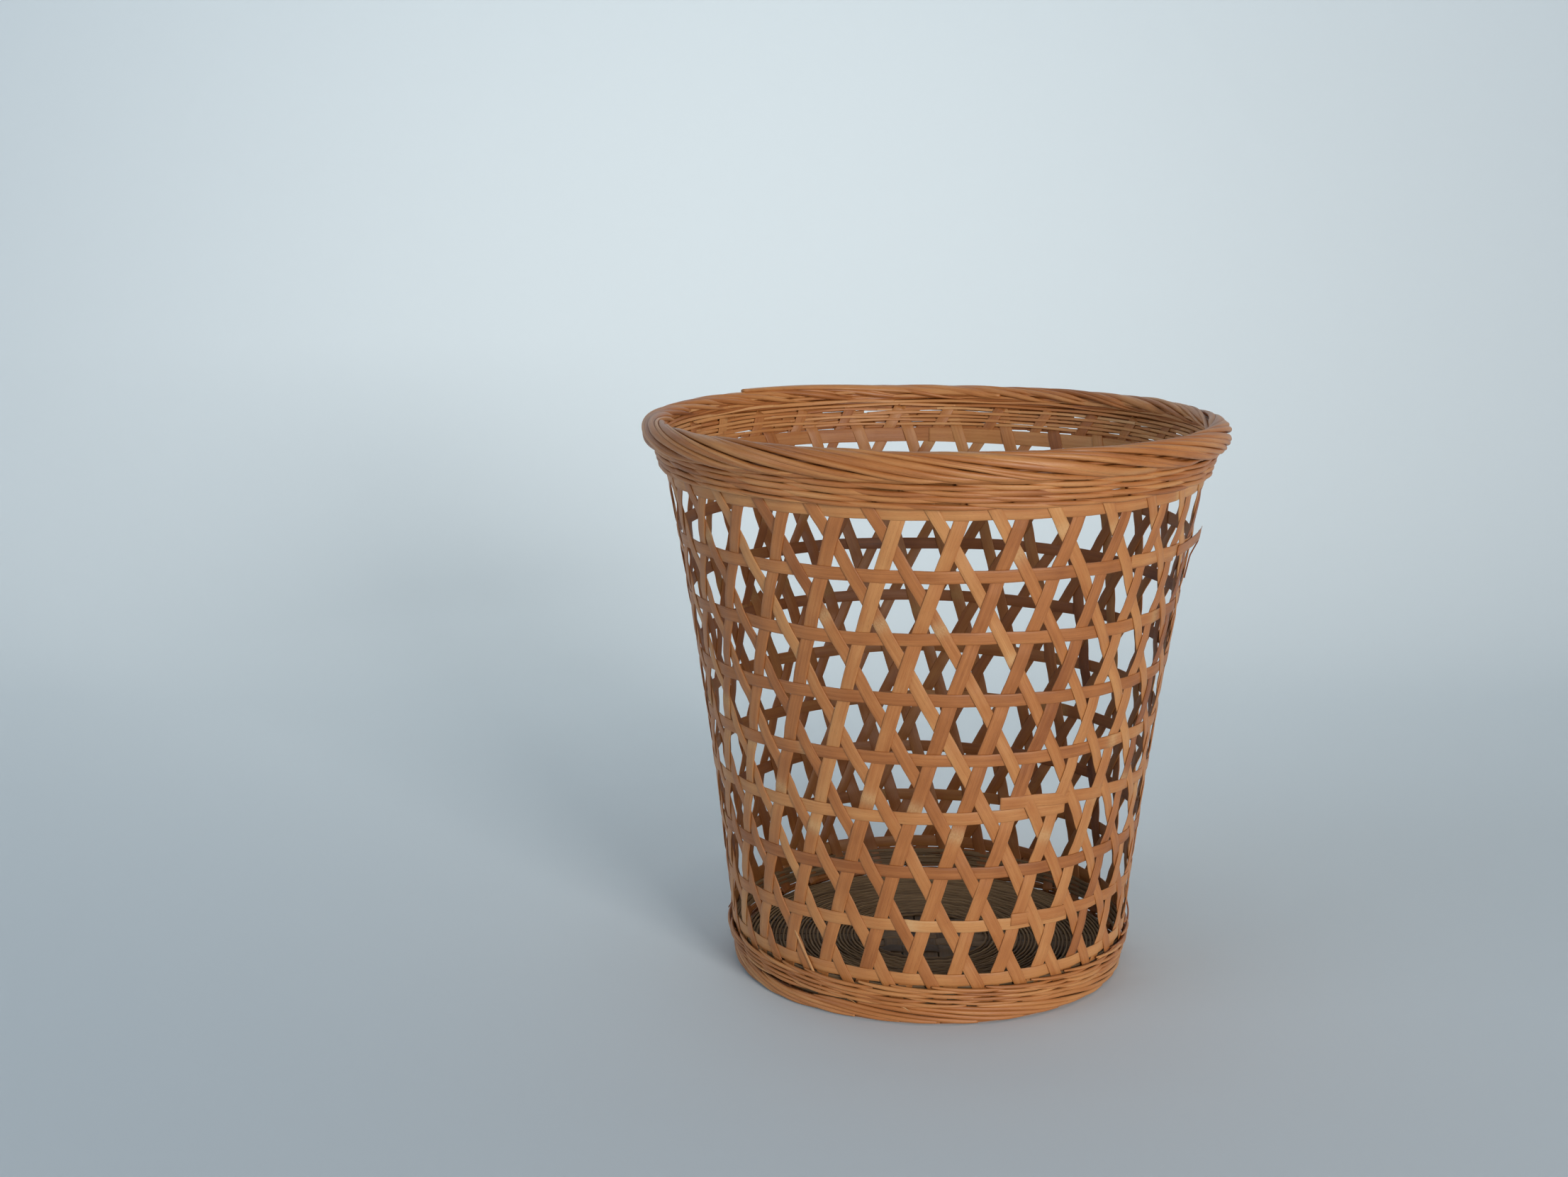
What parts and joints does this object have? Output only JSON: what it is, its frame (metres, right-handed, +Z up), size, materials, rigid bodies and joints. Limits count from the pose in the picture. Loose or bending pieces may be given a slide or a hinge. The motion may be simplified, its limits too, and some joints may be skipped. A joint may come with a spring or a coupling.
{
  "type": "wastebasket",
  "caption": "Round open-weave wastebasket of split bamboo: a flaring wall of hoops and crossed leaning strips with bound rim and foot and a woven base.",
  "frame": {"origin": "on the floor under the middle of the basket, at the middle of the underside of its box", "axes": "+Z up along the basket's axis; -Y is the front; +X is to the right seen from the front"},
  "size_m": [0.2834, 0.2834, 0.2749],
  "materials": {
    "wall_splits": "satin",
    "hoop_splits": "satin",
    "binding_splits": "satin",
    "border_splits": "satin",
    "base_splits": "matte"
  },
  "bodies": {
    "root": {"base_rings_above": "base_splits", "base_rings_below": "base_splits", "base_strips_across": "base_splits", "base_strips_along": "base_splits", "foot_ring": "border_splits", "foot_strands_1": "border_splits", "foot_strands_2": "border_splits", "foot_strands_3": "border_splits", "foot_strands_4": "border_splits", "foot_strands_5": "border_splits", "hoop_2": "hoop_splits", "hoop_3": "hoop_splits", "hoop_4": "hoop_splits", "hoop_5": "hoop_splits", "hoop_6": "hoop_splits", "hoop_7": "hoop_splits", "hoop_8": "hoop_splits", "hoop_9": "hoop_splits", "left_leaning_strips_1": "wall_splits", "left_leaning_strips_10": "wall_splits", "left_leaning_strips_2": "wall_splits", "left_leaning_strips_3": "wall_splits", "left_leaning_strips_4": "wall_splits", "left_leaning_strips_5": "wall_splits", "left_leaning_strips_6": "wall_splits", "left_leaning_strips_7": "wall_splits", "left_leaning_strips_8": "wall_splits", "left_leaning_strips_9": "wall_splits", "lower_inner_rows": "binding_splits", "lower_row_1": "binding_splits", "lower_row_2": "binding_splits", "lower_row_3": "binding_splits", "lower_row_4": "binding_splits", "right_leaning_strips_1": "wall_splits", "right_leaning_strips_10": "wall_splits", "right_leaning_strips_2": "wall_splits", "right_leaning_strips_3": "wall_splits", "right_leaning_strips_4": "wall_splits", "right_leaning_strips_5": "wall_splits", "right_leaning_strips_6": "wall_splits", "right_leaning_strips_7": "wall_splits", "right_leaning_strips_8": "wall_splits", "right_leaning_strips_9": "wall_splits", "rim_bundles_1": "border_splits", "rim_bundles_2": "border_splits", "rim_bundles_3": "border_splits", "rim_bundles_4": "border_splits", "rim_bundles_5": "border_splits", "rim_core": "border_splits", "upper_inner_rows": "binding_splits", "upper_row_1": "binding_splits", "upper_row_2": "binding_splits", "upper_row_3": "binding_splits", "upper_row_4": "binding_splits", "wide_hoop": "hoop_splits"}
  },
  "joints": []
}
